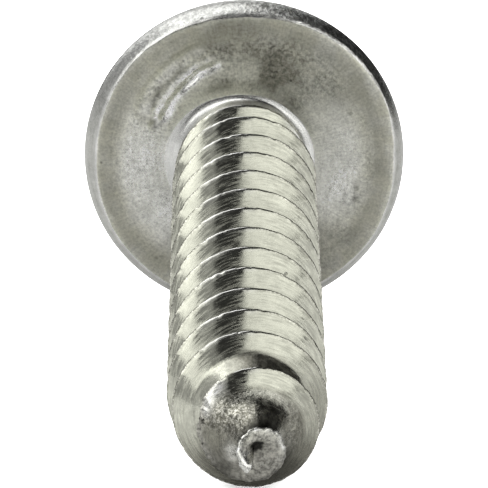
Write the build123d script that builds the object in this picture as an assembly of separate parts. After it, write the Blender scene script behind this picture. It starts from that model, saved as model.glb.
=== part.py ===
from build123d import *
import math
import os

# Truss head screw with a coarse right-hand tapping thread, a gimlet point and
# a cross recess, made as one solid. It is built upright on the Z axis with the
# bearing face at z = 0 and the point upwards, then laid down as it comes to
# rest. All lengths are in millimetres and all angles in degrees.

# Thread, whose crest crosses the +X side at the height given
major_diameter = 4.8
core_diameter = 3.46
pitch = 2.117
flank_angle = 60.0
crest_height_at_side = 0.33

# Shank and point, where the thread and the core narrow at their own angles
length = 31.5
point_length = 4.6
point_crest_diameter = 0.6
core_point_length = 4.8
point_core_diameter = 0.4

# Neck under the head, where the thread runs in
neck_diameter = 4.14
neck_length = 0.6
neck_taper_length = 0.7
neck_fillet = 0.36
neck_overlap = 0.1
run_in_start = 0.12
run_in_turns = 0.6

# Head
head_diameter = 10.78
head_height = 2.75
bearing_diameter = 10.12
rim_height = 0.75
edge_radius = 0.35

# Cross recess
recess_span = 5.0
recess_depth = 2.6
recess_wall_angle = 26.5
wing_width = 0.95
wing_floor_width = 0.75
hub_diameter = 2.3
hub_floor_diameter = 1.3
floor_cone_depth = 0.3

# How many arcs make a turn of thread, and how far it goes on inside the head
arcs_per_turn = 4
turns_in_head = 0.8

# Values worked out from the sizes above
major_radius = major_diameter / 2
core_radius = core_diameter / 2
neck_radius = neck_diameter / 2
head_radius = head_diameter / 2
bearing_radius = bearing_diameter / 2
recess_floor = recess_depth - head_height


def blend(value, start, end, first, last):
    """Go from first to last as value goes from start to end, and hold outside them."""
    share = min(max((value - start) / (end - start), 0.0), 1.0)
    return first + (last - first) * share


def core_radius_at(z):
    """Radius between the turns of thread, which narrows along the point."""
    return blend(z, length - core_point_length, length, core_radius, point_core_diameter / 2)


def crest_radius_at(z):
    """Radius of the sharp crest, from its run-in at the neck to the end of the point."""
    run_in_end = run_in_start + run_in_turns * pitch
    full = blend(z, run_in_start, run_in_end, neck_radius - neck_overlap, major_radius)
    lost = blend(z, length - point_length, length, 0, major_radius - point_crest_diameter / 2)
    return full - lost


def foot_at(crest_height, side):
    """Radius and height of the ridge's foot, above (1) or below (-1) its crest."""
    ridge_height = crest_radius_at(crest_height) - core_radius_at(crest_height)
    height = crest_height + side * ridge_height * math.tan(math.radians(flank_angle / 2))
    return core_radius_at(height), height


def outline_at(z):
    """One pitch of the thread's outline: its foot, crest, foot and the next turn's foot."""
    return [foot_at(z, -1), (crest_radius_at(z), z), foot_at(z, 1), foot_at(z + pitch, -1)]


def crest_angle_at(z):
    """Angle about the axis, in radians, at which the crest passes the height z."""
    return 2 * math.pi * (z - crest_height_at_side) / pitch


def polar(radius, angle, height):
    """Point at a radius, an angle in radians and a height."""
    return Vector(radius * math.cos(angle), radius * math.sin(angle), height)


def thread_arcs(start):
    """Part of a turn of each corner of the outline, as Bezier arcs that wind up from start."""
    end = start + pitch / arcs_per_turn
    first_angle, last_angle = crest_angle_at(start), crest_angle_at(end)
    reach = 4 / 3 * math.tan((last_angle - first_angle) / 4)
    arcs = []
    for (radius, height), (end_radius, end_height) in zip(outline_at(start), outline_at(end)):
        widening = (end_radius - radius) / 3
        rise = (end_height - height) / 3
        leaving = polar(reach * (radius + widening), first_angle + math.pi / 2, rise)
        arriving = polar(reach * (end_radius - widening), last_angle + math.pi / 2, rise)
        arcs.append(
            Bezier(
                polar(radius, first_angle, height),
                polar(radius + widening, first_angle, height) + leaving,
                polar(end_radius - widening, last_angle, end_height) - arriving,
                polar(end_radius, last_angle, end_height),
            ).edge()
        )
    return arcs


def winding_floor(arc):
    """The surface from one arc of the thread's foot to the axis, which closes an end."""
    on_axis = Line((0, 0, (arc @ 0).Z), (0, 0, (arc @ 1).Z))
    return Face.make_surface_from_curves(on_axis.edge(), arc)


def end_step(z):
    """The flat radial step where the thread starts or ends."""
    corners = [polar(radius, crest_angle_at(z), height) for radius, height in outline_at(z)]
    for arc in range(arcs_per_turn, -1, -1):
        foot_height = foot_at(z + pitch * arc / arcs_per_turn, -1)[1]
        corners.append(Vector(0, 0, foot_height))
    return Face(Wire.make_polygon(corners))


def threaded_shank():
    """The whole thread and core, from inside the head to the blunt end of the point."""
    first = crest_height_at_side - turns_in_head * pitch
    turns = math.ceil((length - first) / pitch) + 1
    winds = [thread_arcs(first + pitch * arc / arcs_per_turn) for arc in range(turns * arcs_per_turn)]
    faces = [
        Face.make_surface_from_curves(arc, following)
        for arcs in winds
        for arc, following in zip(arcs, arcs[1:])
    ]
    faces += [winding_floor(arcs[0]) for arcs in winds[:arcs_per_turn]]
    faces += [winding_floor(arcs[-1]) for arcs in winds[-arcs_per_turn:]]
    faces += [end_step(first), end_step(first + turns * pitch)]
    return split(Solid(Shell(faces)), bisect_by=Plane.XY.offset(length), keep=Keep.BOTTOM)


def quarter_round(start, end, corner):
    """A rounding from start to end as a Bezier curve, bent towards their corner."""
    bend = 4 / 3 * math.tan(math.pi / 8)
    return Bezier(start, start + (corner - start) * bend, end + (corner - end) * bend, end)


def head_and_neck():
    """The turned head with its low dome, rounded rim, flat bearing face and neck."""
    crown_rise = head_height - rim_height
    inset = head_radius - edge_radius
    crown_radius = (inset**2 + crown_rise**2 - edge_radius**2) / (2 * (crown_rise - edge_radius))
    crown_centre = Vector(0, crown_radius - head_height)
    edge_centre = Vector(inset, -rim_height)
    crown_end = crown_centre + (edge_centre - crown_centre).normalized() * crown_radius
    widest = Vector(head_radius, -rim_height)
    face_end = Vector(neck_radius + neck_fillet, 0)
    neck_start = Vector(neck_radius, neck_fillet)
    taper = Vector(core_radius - neck_radius, neck_taper_length)
    taper_start = Vector(neck_radius, neck_length)
    taper_end = taper_start + taper * (1 + neck_overlap / (neck_radius - core_radius))
    with BuildPart() as turned:
        with BuildSketch(Plane.XZ):
            with BuildLine():
                TangentArc((0, -head_height), crown_end, tangent=(1, 0))
                TangentArc(widest, crown_end, tangent=(0, -1))
                TangentArc(widest, (bearing_radius, 0), tangent=(0, 1))
                Line((bearing_radius, 0), face_end)
                quarter_round(face_end, neck_start, Vector(neck_radius, 0))
                Polyline(neck_start, taper_start, taper_end, (0, taper_end.Y), (0, -head_height))
            make_face()
        revolve(axis=Axis.Z)
    return turned.part


def cross_outline(span, width):
    """A plain cross of two equal bars."""
    return Rectangle(span, width) + Rectangle(width, span)


def cross_recess():
    """The recess: four tapered wings, a round hub and a conical floor."""
    floor_span = recess_span - 2 * recess_depth * math.tan(math.radians(recess_wall_angle))
    mouth = Plane.XY.offset(-head_height) * cross_outline(recess_span, wing_width)
    floor = Plane.XY.offset(recess_floor) * cross_outline(floor_span, wing_floor_width)
    upright = (Align.CENTER, Align.CENTER, Align.MIN)
    hub = Cone(hub_diameter / 2, hub_floor_diameter / 2, recess_depth, align=upright)
    cone = Cone(hub_floor_diameter / 2, 0, floor_cone_depth, align=upright)
    wings = loft([mouth, floor], ruled=True)
    return wings + Pos(0, 0, -head_height) * hub + Pos(0, 0, recess_floor) * cone


def resting(screw):
    """Lay the screw down, on its head's rim and the crest that then comes lowest."""
    first_low_crest = crest_height_at_side + 0.75 * pitch
    low_turns = int((length - first_low_crest) / pitch) + 1
    low_crests = [first_low_crest + turn * pitch for turn in range(low_turns)]
    droop = min(
        math.degrees(math.atan2(head_radius - crest_radius_at(z), z + rim_height))
        for z in low_crests
    )
    lying = Rot(90 + droop, 0, 0) * screw
    box = lying.bounding_box()
    return Pos(-box.center().X, -box.center().Y, -box.min.Z) * lying


screw = head_and_neck() + threaded_shank() - cross_recess()
truss_head_screw = resting(screw)
truss_head_screw.label = "truss_head_screw"

os.makedirs("parts", exist_ok=True)
export_step(truss_head_screw, "parts/truss_head_screw.step")
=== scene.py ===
"""Truss head screw in stainless steel, lying on a pale floor under soft studio light.

Lengths are in millimetres in the screw's own frame until the mesh is made: the bearing face of the
head is at height 0, the point is upwards, and the side that faces the camera's sky is +Y.
"""

import logging
import math
from dataclasses import dataclass, field
from enum import Enum
from functools import reduce
from itertools import product
from typing import Any, Callable

import bpy
import numpy as np
from mathutils import Matrix, Vector


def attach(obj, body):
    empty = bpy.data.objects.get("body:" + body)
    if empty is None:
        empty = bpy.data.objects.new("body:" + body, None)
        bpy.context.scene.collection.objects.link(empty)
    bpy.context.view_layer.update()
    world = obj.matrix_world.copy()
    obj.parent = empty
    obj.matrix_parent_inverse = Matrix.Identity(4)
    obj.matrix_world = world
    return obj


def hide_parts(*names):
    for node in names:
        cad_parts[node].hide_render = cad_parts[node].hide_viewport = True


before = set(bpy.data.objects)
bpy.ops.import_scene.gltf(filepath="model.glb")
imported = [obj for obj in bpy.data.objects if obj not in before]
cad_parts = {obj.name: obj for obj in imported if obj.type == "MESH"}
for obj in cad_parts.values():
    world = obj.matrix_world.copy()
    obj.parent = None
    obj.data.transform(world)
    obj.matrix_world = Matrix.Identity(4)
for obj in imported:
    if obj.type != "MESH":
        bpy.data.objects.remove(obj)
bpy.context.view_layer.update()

LOG = logging.getLogger("truss_head_screw")
MILLIMETRE = 0.001
FULL_TURN = 2 * math.pi
CAD_NODE = "truss_head_screw"
BODY = "root"
OWN_PLACE = "own_place"
# Masks the mesh carries: the shade mask holds stains and painted shade, and the bright-metal mask holds
# rubbed metal and painted highlights.
MASKS = ("crest", "torn", "shade", "bare", "beaten", "matt")
CELL_FACTORS = (73856093, 19349663, 83492791)
SEED_FACTOR = 2654435761
MIXING_FACTORS = (1274126177, 2246822519)
HALF_OF_16_BITS = 32767.5

Stations = tuple[tuple[float, float], ...]
Colour = tuple[float, float, float]
Patterns = dict[str, bpy.types.NodeSocket]


class Finish(Enum):
    """The stretches of the skin that have a finish of their own, in material order."""

    THREAD = 0
    BEARING_FACE = 1
    RIM = 2
    CROWN = 3


def along(stations: Stations, place: np.ndarray) -> np.ndarray:
    """Value between the stations (place, value), held beyond the first and last."""
    places, values = zip(*stations)
    return np.interp(place, places, values)


def ease(place: np.ndarray, start: float, end: float) -> np.ndarray:
    """Smooth step from 0 at start to 1 at end."""
    share = np.clip((place - start) / (end - start), 0, 1)
    return share * share * (3 - 2 * share)


def fade(place: np.ndarray, start: float, end: float) -> np.ndarray:
    """Smooth step from 1 at start to 0 at end."""
    return 1 - ease(place, start, end)


def bell(offset: np.ndarray, width: float) -> np.ndarray:
    """Bell that is 1 where the offset is 0 and has sunk to about a third at the width."""
    return np.exp(-((offset / width) ** 2))


def lattice_noise(places: np.ndarray, grain: float, seed: int) -> np.ndarray:
    """Smooth noise from -1 to 1 that repeats from run to run.

    Args:
        places: Points, with x, y and z on the last axis.
        grain: Size of one bump, in the units of places.
        seed: Which noise.

    Returns:
        One value for each point.
    """
    scaled = places / grain
    cell = np.floor(scaled).astype(np.int64)
    share = scaled - cell
    share = share * share * (3 - 2 * share)
    total = np.zeros(places.shape[:-1])
    for corner in product((0, 1), repeat=3):
        steps = (cell + np.array(corner)) * np.array(CELL_FACTORS)
        mixed = steps[..., 0] ^ steps[..., 1] ^ steps[..., 2] ^ (seed * SEED_FACTOR)
        mixed = mixed * MIXING_FACTORS[0]
        mixed = (mixed ^ (mixed >> 15)) * MIXING_FACTORS[1]
        value = ((mixed >> 13) & 0xFFFF) / HALF_OF_16_BITS - 1
        weight = np.prod(np.where(np.array(corner) == 1, share, 1 - share), axis=-1)
        total += value * weight
    return total


def turned(radius: np.ndarray, angle: np.ndarray, height: np.ndarray) -> np.ndarray:
    """Points at a radius, an angle about the axis in radians, and a height."""
    return np.stack([radius * np.cos(angle), radius * np.sin(angle), height + 0 * radius], axis=-1)


def mask_stack(points: np.ndarray, **masks: Any) -> np.ndarray:
    """Put masks side by side on the last axis.

    Args:
        points: The points that the masks are for.
        masks: Masks by their names in MASKS; the others are 0.

    Returns:
        The masks for each point, in the order of MASKS.
    """
    empty = np.zeros(points.shape[:-1])
    return np.stack([empty + masks.get(name, 0.0) for name in MASKS], axis=-1)


@dataclass(frozen=True)
class Zone:
    """Where a mark lies on the thread: on one side of the screw and along a stretch of its height.

    The side is in degrees about the axis, and the spread gives the cosines of the angle away from it
    at which the mark starts and is full. The heights are where the mark starts and is full and,
    where it doesn't run on to the point, where it fades and is gone.
    """

    side: float
    spread: tuple[float, float]
    heights: tuple[float, ...] = ()

    def at(self, side: np.ndarray, height: np.ndarray) -> np.ndarray:
        """Strength of the mark.

        Args:
            side: Bearings about the axis in radians.
            height: Heights along the axis.

        Returns:
            The strength at each place, from 0 to 1.
        """
        strength = ease(np.cos(side - math.radians(self.side)), *self.spread)
        if self.heights:
            strength = strength * ease(height, *self.heights[:2])
        if self.heights[2:]:
            strength = strength * fade(height, *self.heights[2:])
        return strength


@dataclass
class Skin:
    """The screw's skin as it is built up: points, faces, their finish and the point masks."""

    points: list[np.ndarray] = field(default_factory=list)
    masks: list[np.ndarray] = field(default_factory=list)
    faces: list[tuple[int, ...]] = field(default_factory=list)
    finishes: list[int] = field(default_factory=list)
    count: int = 0

    def add_points(self, points: np.ndarray, masks: np.ndarray) -> np.ndarray:
        """Add points with their masks.

        Args:
            points: Points of any grid shape, with x, y and z on the last axis.
            masks: The masks of each point in the order of MASKS, on the last axis.

        Returns:
            The points' numbers, in the grid's shape.
        """
        shape = points.shape[:-1]
        total = int(np.prod(shape))
        self.points.append(points.reshape(total, 3))
        self.masks.append(masks.reshape(total, masks.shape[-1]))
        numbers = np.arange(self.count, self.count + total).reshape(shape)
        self.count += total
        return numbers

    def sew(self, first: np.ndarray, second: np.ndarray, finish: Finish) -> None:
        """Join two neighbouring lines of points with faces, leaving out doubled corners.

        Args:
            first: Numbers along the line that comes first counter-clockwise or further back.
            second: Numbers along the next line.
            finish: Finish of the new faces.
        """
        corners = np.stack([first[:-1], first[1:], second[1:], second[:-1]], axis=-1)
        for quad in corners.tolist():
            kept = tuple(dict.fromkeys(quad))
            if len(kept) > 2:
                self.faces.append(kept)
                self.finishes.append(finish.value)


@dataclass
class ThreadWearAndPaintedLight:
    """Wear of the thread: a nicked crest, a torn edge, stains, and the curled end around its pit, with
    painted shade and painted highlights.

    A point's distance is along the axis from its crest. Four heights or depths say where a mark starts
    and is full, and then where it fades and is gone. Two turns, counted back from the end, or two
    reaches from the axis say where it fades and is gone. The point's marks are named as it is seen
    from its end, with the side that faces the sky upwards.
    """

    points: np.ndarray
    distance: np.ndarray
    angle: np.ndarray
    crest_width: float = 0.04
    crest_wander: float = 0.008
    crest_path: float = 15.0
    notch_depth: float = 0.065
    notch_level: float = 0.6
    torn_width: float = 0.16
    torn_depth: float = 0.16
    torn_lift: float = 0.08
    least_reach: float = 0.05
    curl_turns: tuple[float, float] = (0.95, 1.2)
    curl_unevenness: float = 0.04
    lip_middle: float = 0.03
    lip_width: float = 0.06
    pit_heights: tuple[float, ...] = (29.3, 29.6, 30.15, 30.5)
    pit_reach: tuple[float, float] = (0.18, 0.34)
    tail_reach: tuple[float, float] = (0.34, 0.48)
    groove_depths: tuple[float, ...] = (0.05, 0.10, 0.60, 0.80)
    # Where the painted highlight beside the curled end lies.
    curl_side_highlight_centre: tuple[float, float] = (-0.58, -0.40)
    curl_side_highlight_widths: tuple[float, float] = (0.20, 0.28)
    curl_side_highlight_heights: tuple[float, ...] = (28.9, 29.2, 30.2, 30.6)
    neck_heights: tuple[float, float] = (0.50, 0.75)
    valley_heights: tuple[float, float] = (26.2, 26.8)
    torn_zone: Zone = Zone(184, (0.74, 0.94), (28.40, 28.65, 29.35, 29.60))
    groove_zone: Zone = Zone(110, (0.0, 0.5))
    tail_zone: Zone = Zone(155, (0.80, 0.95))
    rear_zone: Zone = Zone(30, (-0.1, 0.7))
    fleck_zone: Zone = Zone(135, (0.72, 0.95), (28.55, 28.9))
    warm_zone: Zone = Zone(100, (0.8, 0.97), (29.0, 29.3))
    lower_left_zone: Zone = Zone(205, (0.3, 0.9), (28.6, 29.1))
    # Where the painted highlight along the crest lies.
    crest_highlight_zone: Zone = Zone(106, (0.90, 0.97))
    glint_zone: Zone = Zone(140, (0.90, 0.98), (27.9, 28.3, 29.0, 29.3))
    ridge_zone: Zone = Zone(75, (0.5, 0.8), (28.3, 28.6, 29.2, 29.4))
    underside: Zone = Zone(270, (0.0, 0.8))
    underside_of_end: Zone = Zone(270, (0.0, 0.8), (25.5, 28.0))
    tarnish_zone: Zone = Zone(-25, (0.2, 0.9), (24.6, 25.6))
    gloom_zone: Zone = Zone(270, (0.3, 0.9), (26.8, 28.0))
    gloom_of_tip: Zone = Zone(270, (0.5, 0.95), (28.8, 29.2))

    def __post_init__(self) -> None:
        """Find the torn edge and the parts of the curled end where the points are before they wear."""
        height, distance = self.points[..., 2], self.distance
        turns_left = self.angle.max() / FULL_TURN - self.angle / FULL_TURN
        self.side = np.arctan2(self.points[..., 1], self.points[..., 0])
        self.reach = np.linalg.norm(self.points[..., :2], axis=-1)
        self.torn = self.torn_zone.at(self.side, height)
        self.curl = fade(turns_left, *self.curl_turns) * ease(distance, -0.10, 0.0)
        self.lip = bell(distance - self.lip_middle, self.lip_width) * fade(turns_left, 0.72, 0.92)
        self.lobe = fade(turns_left, 0.22, 0.34) * ease(distance, -0.45, -0.25)
        self.groove = ease(-distance, *self.groove_depths[:2]) * fade(-distance, *self.groove_depths[2:])
        self.groove *= fade(turns_left, 0.7, 0.9) * self.groove_zone.at(self.side, height) * (1 - self.lobe)
        self.pit = ease(height, *self.pit_heights[:2]) * fade(height, *self.pit_heights[2:])
        self.pit *= fade(self.reach + 0.10 * self.noise(0.16, 25), *self.pit_reach) * (1 - self.lip)
        self.tail = self.curl * self.tail_zone.at(self.side, height) * fade(self.reach, *self.tail_reach)
        self.tail *= ease(self.noise(0.09, 53), -0.4, 0.2)

    def noise(self, grain: float, seed: int) -> np.ndarray:
        """Smooth noise at the points where they are now."""
        return lattice_noise(self.points, grain, seed)

    def move(self) -> None:
        """Nick the crest, tear the point's edge and make the flanks and the curled end uneven."""
        turns = self.angle / FULL_TURN
        path = np.stack([self.crest_path * turns, 0 * turns, 0 * turns], axis=-1)
        notch = np.maximum(lattice_noise(path, 0.17, 11) - self.notch_level, 0)
        nicks = self.crest_wander * (1 + lattice_noise(path, 0.13, 3)) + self.notch_depth * notch
        chips = np.abs(self.noise(0.16, 5)) + 0.6 * np.abs(self.noise(0.09, 6))
        torn_edge = self.torn * bell(self.distance, self.torn_width)
        inward = bell(self.distance, self.crest_width) * nicks + torn_edge * self.torn_depth * chips
        uneven = 0.003 * self.noise(0.7, 21) + 0.001 * self.noise(0.25, 22)
        uneven += self.curl_unevenness * self.curl * self.noise(0.14, 23)
        share = (self.reach - inward + uneven) / np.maximum(self.reach, self.least_reach)
        self.points[..., :2] *= np.where(self.reach > self.least_reach, share, 1)[..., None]
        self.points[..., 2] += torn_edge * self.torn_lift * self.noise(0.11, 8)

    def find_stains_and_painted_light(self) -> None:
        """Find the stained and the bared places of the point, and where shade and highlights are painted,
        where the points are once they are worn.
        """
        side, height, distance, beside_curl = self.side, self.points[..., 2], self.distance, 1 - self.curl
        # A painted highlight on the cone beside the curled end, carrying its lobe on.
        across, upward = (self.points[..., axis] - self.curl_side_highlight_centre[axis] for axis in range(2))
        curl_side_highlight = bell(across, self.curl_side_highlight_widths[0]) * bell(upward, self.curl_side_highlight_widths[1])
        curl_side_highlight *= ease(height, *self.curl_side_highlight_heights[:2]) * fade(height, *self.curl_side_highlight_heights[2:])
        self.curl_side_highlight = np.clip(curl_side_highlight * (1.1 + 0.4 * self.noise(0.16, 52)), 0, 1)
        self.rear = self.rear_zone.at(side, height)
        self.valley = ease(np.abs(distance), 0.26, 0.40) * ease(height, *self.valley_heights) * beside_curl
        self.flecks = self.fleck_zone.at(side, height) * beside_curl
        self.warm_core = self.warm_zone.at(side, height) * beside_curl
        self.lower_left = self.lower_left_zone.at(side, height) * beside_curl
        # A painted highlight along the crest on its upper side, short of the point.
        self.crest_highlight = self.crest_highlight_zone.at(side, height) * (height < 28.5)
        # A painted highlight: the glint on the point's flank.
        self.glint = bell(distance - 0.10, 0.10) * self.glint_zone.at(side, height)
        # A painted highlight: a light line along the dark core near the point.
        self.ridge = bell(distance - 0.43, 0.04) * self.ridge_zone.at(side, height)
        self.neck = fade(height, *self.neck_heights)

    def torn_mask(self) -> np.ndarray:
        """Where the metal is torn: the point's ragged edge and the curled end's rough face."""
        rough = 0.8 * self.curl * (1 - self.pit) * (1 - 0.9 * self.lip) * (1 - 0.7 * self.lobe)
        return np.clip(self.torn * bell(self.distance, 0.10) + rough, 0, 1)

    def crest_mask(self) -> np.ndarray:
        """Where dark and light burrs sit: along the crest and in the grit of the point."""
        burrs = bell(self.distance, 0.034) * (1 - self.torn_mask()) * (1 - 0.8 * self.crest_highlight)
        grit = 0.60 * self.flecks * (1 - self.glint) * (1 - 0.6 * self.warm_core) + 0.24 * self.warm_core
        grit += 0.22 * self.valley * self.rear
        return np.clip(burrs * (1 - self.curl) + grit * (1 - self.groove), 0, 1)

    def shade_mask(self) -> np.ndarray:
        """How dark the metal is: up to 1 it carries stains and painted shade, and up to 2 it also carries
        deep painted shade.
        """
        side, height = self.side, self.points[..., 2]
        # Darker in the thread's roots: painted shade and dirt.
        stain = 0.6 * ease(np.abs(self.distance), 0.42, 0.6) * (height < 26.5)
        # Painted shade on the underside, the side the screw lies on, stronger near the point.
        stain += 0.3 * self.underside.at(side, height) + 0.6 * self.underside_of_end.at(side, height)
        # The valleys near the point: painted shade, darkest on the rear side, over brown oxide.
        stain += self.valley * (0.1 + 0.95 * self.rear) * (1 + 0.4 * self.noise(0.3, 51))
        stain += 0.55 * self.tarnish_zone.at(side, height) + 0.5 * self.warm_core
        # The lower left of the point is darkened as painted shade.
        stain += 0.6 * self.flecks * (1 - self.glint) + 0.6 * self.lower_left
        # Deep painted shade, past 1: on the underside near the point, on its lower left and in the rear
        # valleys.
        gloom = 0.6 * self.gloom_zone.at(side, height) + 0.4 * self.gloom_of_tip.at(side, height)
        gloom = gloom * (1 - self.curl) + 0.35 * self.lower_left
        gloom += 0.35 * self.valley * self.rear * (height < 28.3)
        # No painted shade where the light line along the core and the patch beside the curl are painted
        # light.
        shade = (np.clip(stain, 0, 1) + gloom) * (1 - self.ridge) * (1 - self.curl_side_highlight)
        # Deep painted shade in the groove under the curl's lip, in the pit and in its ragged tail; the lobe
        # is mostly cleared of it.
        shade = np.clip(shade + 2 * self.groove + 2 * self.pit, 0, 2) * (1 - 0.6 * self.lobe * (1 - self.pit))
        return np.clip(shade + 1.5 * self.tail, 0, 2)

    def bare_mask(self) -> np.ndarray:
        """Where the metal is rubbed bright, and where highlights are painted on."""
        # Painted highlights: the glint on the point's flank and the bright line along the crest.
        bare = 0.9 * self.glint + self.crest_highlight * bell(self.distance, 0.045)
        # The light line along the core and the patch beside the curl are painted highlights; the neck is
        # rubbed bright metal.
        bare += 0.35 * self.ridge + 0.8 * self.curl_side_highlight + 0.9 * self.neck
        # The curl's lip and its lobe get painted highlights.
        bare += self.lip * (0.65 + 0.5 * self.noise(0.12, 24))
        bare += 0.8 * self.lobe * (1 - self.lip) * (1 - self.pit)
        return np.clip(bare, 0, 1)

    def beaten_mask(self) -> np.ndarray:
        """Where the metal is lumpy: the curled end, the root beside it and the torn edge."""
        beaten = self.curl * (1 - 0.6 * self.lobe) + self.torn * bell(self.distance, 0.10)
        beaten += (0.25 + 0.35 * (self.points[..., 2] > 28.3)) * self.valley + 0.15 * self.flecks
        return np.clip(beaten * (1 - self.glint), 0, 1)

    def matt_mask(self) -> np.ndarray:
        """Where the metal is duller: the flank that faces the point, the neck and the curled end."""
        flank = ease(self.distance, 0.02, 0.36) * (self.points[..., 2] < 27)
        return np.maximum(flank, self.neck) + 0.9 * self.curl

    def masks(self) -> np.ndarray:
        """Masks of the worn thread, with its painted shade and highlights, in the order of MASKS, for each
        point.
        """
        self.find_stains_and_painted_light()
        return mask_stack(
            self.points, crest=self.crest_mask(), torn=self.torn_mask(), shade=self.shade_mask(),
            bare=self.bare_mask(), beaten=self.beaten_mask(), matt=self.matt_mask(),
        )


@dataclass(frozen=True)
class Thread:
    """The shank: neck, rolled thread with its run-in, and the gimlet point with its curled end."""

    pitch: float = 2.117
    height_at_side: float = 0.33
    flank_slope: float = math.tan(math.radians(30))
    ring_height: float = 0.36
    crests: Stations = (
        (0.12, 2.0), (0.33, 2.08), (0.5, 2.13), (0.86, 2.22), (1.38, 2.33), (2.0, 2.4), (25.9, 2.4),
        (26.3, 2.38), (26.6, 2.32), (26.85, 2.24), (27.1, 2.17), (27.4, 2.12), (27.89, 2.02), (28.42, 1.86),
        (28.65, 1.80), (28.94, 1.66), (29.47, 1.30), (30.0, 0.86), (30.55, 0.67), (31.08, 0.52), (31.5, 0.46),
    )
    cores: Stations = (
        (0.36, 2.07), (0.7, 1.80), (1.0, 1.73), (26.64, 1.73), (28.8, 0.98), (29.4, 0.80), (30.4, 0.33),
    )
    crest_rounding: Stations = (
        (0.3, 0.03), (1.2, 0.012), (28.6, 0.012), (29.6, 0.03), (30.4, 0.10),
    )
    root_fillets: Stations = ((1.5, 0.012), (2.5, 0.03))
    lean: Stations = ((25.8, 0.0), (26.8, 0.05), (27.4, 0.08), (28.4, 0.16), (29.6, 0.24), (31.5, 0.26))
    lean_angle: float = math.radians(35)
    end_height: float = 31.49
    pit_height: float = 30.1
    blunt_turns: float = 0.05
    curl_turns: tuple[float, float] = (1.25, 0.95)
    curl_bulge: float = 0.10
    columns: int = 256
    rows_below: int = 6
    rows_by_width: tuple[float, ...] = (-1.18, -0.92, -0.5, 0.28, 0.44, 0.6, 0.76, 0.92, 1.12)
    rows_by_rounding: tuple[float, ...] = (-4.0, -1.6, 0.0, 1.6, 4.0)
    least_width: float = 0.14
    ring_rise: float = 0.3

    def start_turn(self) -> float:
        """Turn of the helix at which the first strip has no height yet."""
        return (self.ring_height - self.pitch / 2 - self.height_at_side) / self.pitch

    def ring_angles(self) -> np.ndarray:
        """Angles of the points in every ring of the skin."""
        return FULL_TURN * (self.start_turn() + np.arange(self.columns) / self.columns)

    def leaned(self, points: np.ndarray) -> np.ndarray:
        """Push the point's end over to the side it was bent to.

        Args:
            points: The points, which are moved in place.

        Returns:
            The same points.
        """
        shift = along(self.lean, points[..., 2])
        points[..., 0] += shift * math.cos(self.lean_angle)
        points[..., 1] += shift * math.sin(self.lean_angle)
        return points

    def profile(self, turns: np.ndarray) -> tuple[np.ndarray, np.ndarray, np.ndarray, np.ndarray]:
        """Section of the ridge for each column, from the root below its crest to the root above.

        Args:
            turns: Place of each column along the helix, in turns.

        Returns:
            Radius, height and distance from the crest for each column and row, and the crest's
            own radius for each column.
        """
        half = self.pitch / 2
        crest_height = (self.height_at_side + self.pitch * turns)[:, None]
        crest = along(self.crests, crest_height)
        rounding = along(self.crest_rounding, crest_height)
        width = np.maximum((crest - along(self.cores, crest_height)) * self.flank_slope, self.least_width)
        offsets = [share * width for share in self.rows_by_width]
        offsets += [share * rounding for share in self.rows_by_rounding]
        offsets += [0 * width - half, 0.5 * (offsets[len(self.rows_by_width) - 1] + half), 0 * width + half]
        offset = np.sort(np.clip(np.concatenate(offsets, axis=1), -half, half), axis=1)
        rows = offset.shape[1]
        share = np.arange(rows) / (rows - 1)
        room = np.minimum(crest_height + half - self.ring_height, self.pitch)
        floor = self.ring_height + self.ring_rise * room * share
        first_turn = crest_height - half < self.ring_height
        height = np.where(first_turn, np.maximum(crest_height + offset, floor), crest_height + offset)
        distance = height - crest_height
        sharp = crest - (np.sqrt(distance**2 + rounding**2) - rounding) / self.flank_slope
        core = along(self.cores, height)
        fillet = along(self.root_fillets, crest_height)
        rise = sharp - core
        radius = core + 0.5 * (rise + np.sqrt(rise**2 + fillet**2))
        return radius, height, distance, crest

    def curl(
        self, turns: np.ndarray, radius: np.ndarray, height: np.ndarray, crest: np.ndarray
    ) -> tuple[np.ndarray, np.ndarray]:
        """Turn the upper side of the last turn into the curled end around its pit.

        Args:
            turns: Place of each column along the helix, in turns.
            radius: Radius for each column and row.
            height: Height for each column and row.
            crest: The crest's radius for each column.

        Returns:
            The new radius and height.
        """
        last = turns[-1]
        rows = radius.shape[1]
        share = np.clip((np.arange(rows) - self.rows_below) / (rows - 1 - self.rows_below), 0, 1)
        crest_height = (self.height_at_side + self.pitch * turns)[:, None]
        bulge = self.curl_bulge * np.sin(math.pi * np.clip(share / 0.8, 0, 1))
        drop = ease(share, 0.5, 1.0)
        rope_radius = crest * (1 - share)
        rope_height = crest_height + bulge + (self.pit_height - crest_height) * drop
        first_curled, all_curled = self.curl_turns
        taken = ease(turns[:, None], last - first_curled, last - all_curled) * (share > 0)
        radius = radius + (rope_radius - radius) * taken
        height = height + (rope_height - height) * taken
        blunt = np.clip((turns[:, None] - (last - self.blunt_turns)) / self.blunt_turns, 0, 1)
        sunk = 1 - np.sqrt(np.maximum(1 - blunt**2, 0))
        base_share = np.arange(rows) / (rows - 1)
        base_radius = radius[:, :1] * (1 - base_share)
        base_height = height[:, :1] + (self.pit_height - height[:, :1]) * base_share
        return radius + (base_radius - radius) * sunk, height + (base_height - height) * sunk

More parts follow.
